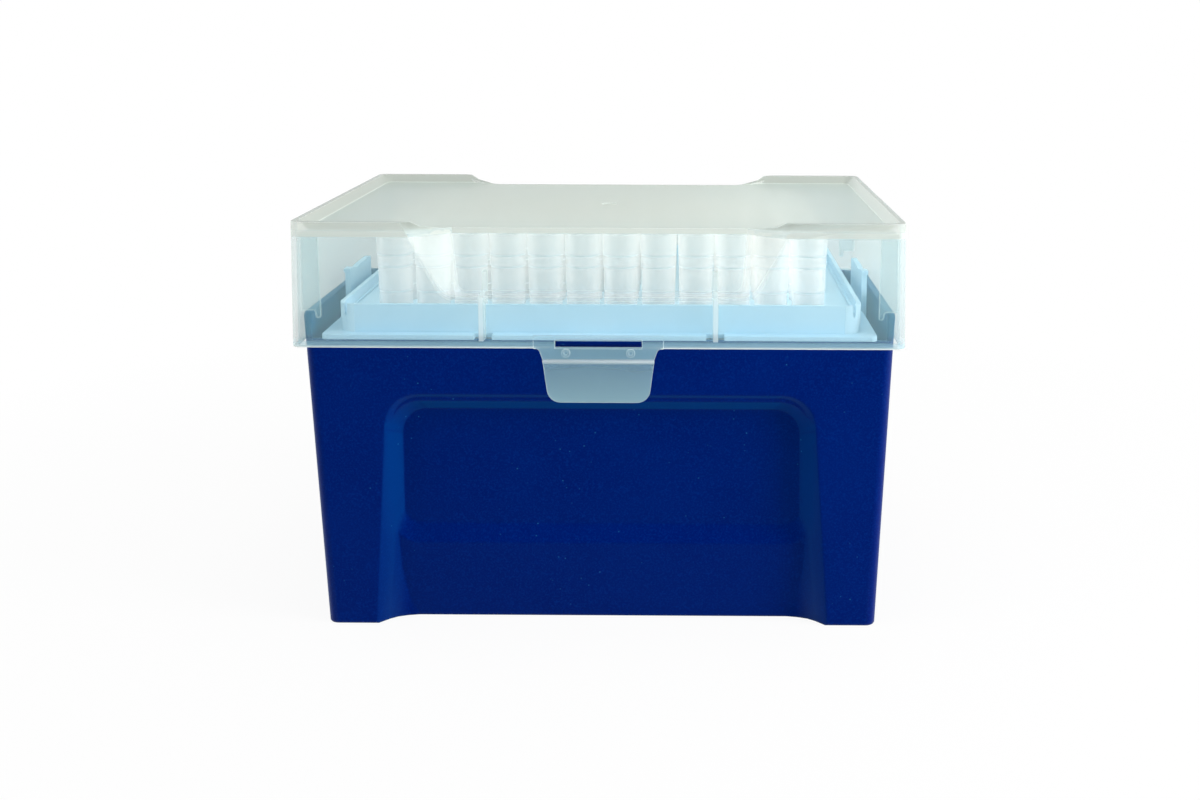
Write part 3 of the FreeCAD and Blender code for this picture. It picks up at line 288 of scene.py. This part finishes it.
def lid_zones(m):
    """The frosted top and its rim, with painted shade on the rim, the low band over the base, and the
    pockets' facets, with a painted highlight, ledges and fins.
    """
    up = m.ramp(m.facing_part("Z"), 0.2, 0.4)
    aside = m.ramp(m.facing_part("Z"), 0.2, 0.4, 1.0, 0.0)
    depth = m.absolute(m.along("Y"))
    across = m.absolute(m.along("X"))
    top = m.both(m.within("Z", PLATE_TOP_MM - 0.6, ABOVE_LID_MM), up)
    # Painted shade: the top's rim gets a darker colour, against the lamps' light on its slope.
    painted_shade_rim = m.both(m.within("Z", PLATE_TOP_MM + 0.2, ABOVE_LID_MM), up)
    plate_edge = m.both(m.within("Z", PLATE_TOP_MM - 1.4, PLATE_TOP_MM + 0.1), aside)
    rim_wall = m.both(m.within("Z", PLATE_TOP_MM + 0.1, ABOVE_LID_MM), aside)
    band = m.within("Z", 60.0, FRONT_WALL_TOP_MM)
    pocket = m.both(
        m.within("Z", 80.0, PLATE_TOP_MM - 1.4),
        m.beyond(depth, POCKET_DEPTH_MM - 0.5, POCKET_DEPTH_MM + 0.5),
        m.short_of(across, POCKET_HALF_MM - 0.5, POCKET_HALF_MM + 0.5),
    )
    # Painted highlight: the pockets' side facets are paler, as they catch the light from the right.
    painted_facet_highlight = m.both(pocket, m.ramp(m.absolute(m.facing_part("X")), 0.35, 0.55))
    ledge = m.both(pocket, m.ramp(m.facing_part("Z"), 0.5, 0.7))
    off_fin = m.absolute(m.math("SUBTRACT", across, FIN_PLACE_MM * MM))
    fin = m.both(
        m.short_of(off_fin, FIN_HALF_MM - 0.05, FIN_HALF_MM + 0.05),
        m.within("Z", FRONT_WALL_TOP_MM + 0.3, 87.0),
        m.beyond(depth, 39.0, 39.5),
    )
    hem = m.both(
        m.within("Z", SKIRT_LOW_MM - 0.1, SKIRT_LOW_MM + 0.2, 0.03),
        m.beyond(across, NECK_HALF_MM - 0.1, NECK_HALF_MM + 0.2),
    )
    return (
        (top, 0.80, (0.53, 0.58, 0.50)),
        # Painted shade on the rim.
        (painted_shade_rim, 0.80, (0.35, 0.38, 0.33)),
        (plate_edge, 0.70, (0.66, 0.71, 0.65)),
        (rim_wall, 0.50, (0.58, 0.62, 0.56)),
        (band, 0.39, (0.38, 0.70, 0.82)),
        # Painted highlight on the pockets' facets.
        (painted_facet_highlight, 0.30, (0.68, 0.80, 0.80)),
        (ledge, 0.28, (0.62, 0.72, 0.76)),
        (fin, 0.58, (0.76, 0.88, 0.90)),
        (hem, 0.85, (0.86, 0.92, 0.90)),
    )


def faint_edges(m):
    """The pockets' inner edges, in part, and the outline of the latch's pad."""
    depth = m.absolute(m.along("Y"))
    inner = m.both(
        m.within("Z", 79.0, 86.0),
        m.beyond(depth, POCKET_DEPTH_MM - 0.5, POCKET_DEPTH_MM + 0.5),
        m.short_of(depth, 44.0, 44.4),
    )
    pad = m.both(m.within("Z", 72.2, 74.5), m.beyond(depth, 46.0, 46.4))
    return m.math("MAXIMUM", m.math("MULTIPLY", inner, 0.3), pad)


def lid_plastic():
    colours = (0.38, 0.72, 0.84), (0.58, 0.60, 0.55), (0.72, 0.78, 0.76)
    looks = dict(outline=0.85, zones=lid_zones, quiet=faint_edges)
    return clear_plastic("lid_plastic", (0.18, 0.55), colours, **looks)


def tip_zones(m):
    """The shade under each band of a tip's collar."""
    line_mm, soft_mm, share, shade = 0.30, 0.06, 0.8, (0.46, 0.62, 0.72)
    return tuple((m.within("Z", step - line_mm, step, soft_mm), share, shade) for step in COLLAR_STEPS_MM)


def tip_plastic():
    colours = (0.90, 0.925, 0.94), (0.90, 0.93, 0.95), (0.90, 0.93, 0.96)
    return clear_plastic("tip_plastic", (0.40, 0.44), colours, zones=tip_zones, through=0.62)


def latch_zones(m):
    """The bead on the hinge line, and the flap's thicker lower part."""
    bead = m.within("Z", HINGE_LINE_MM - 0.35, HINGE_LINE_MM + 0.7)
    low = m.short_of(m.along("Z"), HINGE_LINE_MM - 9.3, HINGE_LINE_MM - 0.3)
    return (low, 0.44, (0.48, 0.76, 0.80)), (bead, 0.62, (0.72, 0.80, 0.82))


def latch_plastic():
    colours = (0.42, 0.72, 0.80), (0.60, 0.76, 0.80), (0.52, 0.74, 0.80)
    return clear_plastic("latch_plastic", (0.29, 0.70), colours, outline=0.7, zones=latch_zones)


# ----------------------------------------------------------------------------------------------------
# CAD nodes that stay: material and softly rounded edges
# ----------------------------------------------------------------------------------------------------
def dress(name, material, rounding_mm):
    """Material, welded seams and rounded edges."""
    piece = nodes[name]
    piece.data.materials.clear()
    piece.data.materials.append(material)
    weld = piece.modifiers.new("weld", "WELD")
    weld.merge_threshold = 0.001 * MM
    if rounding_mm:
        bevel = piece.modifiers.new("rounding", "BEVEL")
        bevel.width = rounding_mm * MM
        bevel.segments = 2
        bevel.limit_method = "ANGLE"
        bevel.angle_limit = math.radians(40)
        bevel.harden_normals = True


# ----------------------------------------------------------------------------------------------------
# Studio: floor, lamps and world
# ----------------------------------------------------------------------------------------------------
def show_white(m, lit, share):
    """lit for lamps and shadows, and partly plain white for what looks at it."""
    path = m.add("LightPath").outputs
    looked_at = m.math("MAXIMUM", path["Is Camera Ray"], path["Is Glossy Ray"])
    looked_at = m.math("MAXIMUM", looked_at, path["Is Transmission Ray"])
    white = m.add("Emission", Color=(1, 1, 1), Strength=1.0).outputs[0]
    return m.mix(m.math("MULTIPLY", looked_at, share), lit, white)


def make_floor():
    mesh = bpy.data.meshes.new("floor")
    corners = [(x * FLOOR_REACH, y * FLOOR_REACH, 0) for x, y in ((-1, -1), (1, -1), (1, 1), (-1, 1))]
    mesh.from_pydata(corners, [], [(0, 1, 2, 3)])
    floor = bpy.data.objects.new("floor", mesh)
    scene.collection.objects.link(floor)
    m = Shader("floor")
    diffuse = m.add("BsdfDiffuse", Color=(0.8, 0.8, 0.8)).outputs[0]
    distance = m.tree.nodes.new("ShaderNodeVectorMath")
    distance.operation = "LENGTH"
    m.put(distance.inputs[0], m.coordinates)
    share = m.ramp(distance.outputs["Value"], 0.06, 0.30, 0.92, 1.0)
    floor.data.materials.append(m.finish(show_white(m, diffuse, share)))


def make_lamp(name, place, size, energy):
    data = bpy.data.lights.new(name, "AREA")
    data.shape = "RECTANGLE"
    data.size, data.size_y = size
    data.energy = energy
    lamp = bpy.data.objects.new(name, data)
    direction = LAMP_AIM - Vector(place)
    lamp.matrix_world = Matrix.Translation(place) @ direction.to_track_quat("-Z", "Y").to_matrix().to_4x4()
    scene.collection.objects.link(lamp)


def make_studio():
    make_floor()
    for lamp in LAMPS:
        make_lamp(*lamp)
    world = bpy.data.worlds.new("studio")
    scene.world = world
    world.use_nodes = True
    tree = world.node_tree
    tree.nodes.clear()
    path = tree.nodes.new("ShaderNodeLightPath")
    soft = tree.nodes.new("ShaderNodeBackground")
    soft.inputs["Strength"].default_value = WORLD_STRENGTH
    white = tree.nodes.new("ShaderNodeBackground")
    mix = tree.nodes.new("ShaderNodeMixShader")
    output = tree.nodes.new("ShaderNodeOutputWorld")
    for background in (soft, white):
        background.inputs["Color"].default_value = (1, 1, 1, 1)
    most = path.outputs["Is Camera Ray"]
    for name in ("Is Glossy Ray", "Is Transmission Ray"):
        larger = tree.nodes.new("ShaderNodeMath")
        larger.operation = "MAXIMUM"
        tree.links.new(most, larger.inputs[0])
        tree.links.new(path.outputs[name], larger.inputs[1])
        most = larger.outputs[0]
    tree.links.new(most, mix.inputs[0])
    tree.links.new(soft.outputs[0], mix.inputs[1])
    tree.links.new(white.outputs[0], mix.inputs[2])
    tree.links.new(mix.outputs[0], output.inputs["Surface"])


materials = {
    "base": base_plastic(),
    "wafer": wafer_plastic(),
    "lid": lid_plastic(),
    "latch": latch_plastic(),
    "tip": tip_plastic(),
}
make_camera()
make_studio()
scene.view_settings.view_transform = "Standard"
scene.cycles.transparent_max_bounces = CLEAR_SURFACES

dress("rack_base", materials["base"], 0.3)
dress("tip_wafer", materials["wafer"], 0.15)
dress("lid", materials["lid"], 0.14)
dress("latch_flap", materials["latch"], 0.12)
for node in nodes:
    if node.startswith("tips_"):
        dress(node, materials["tip"], 0)
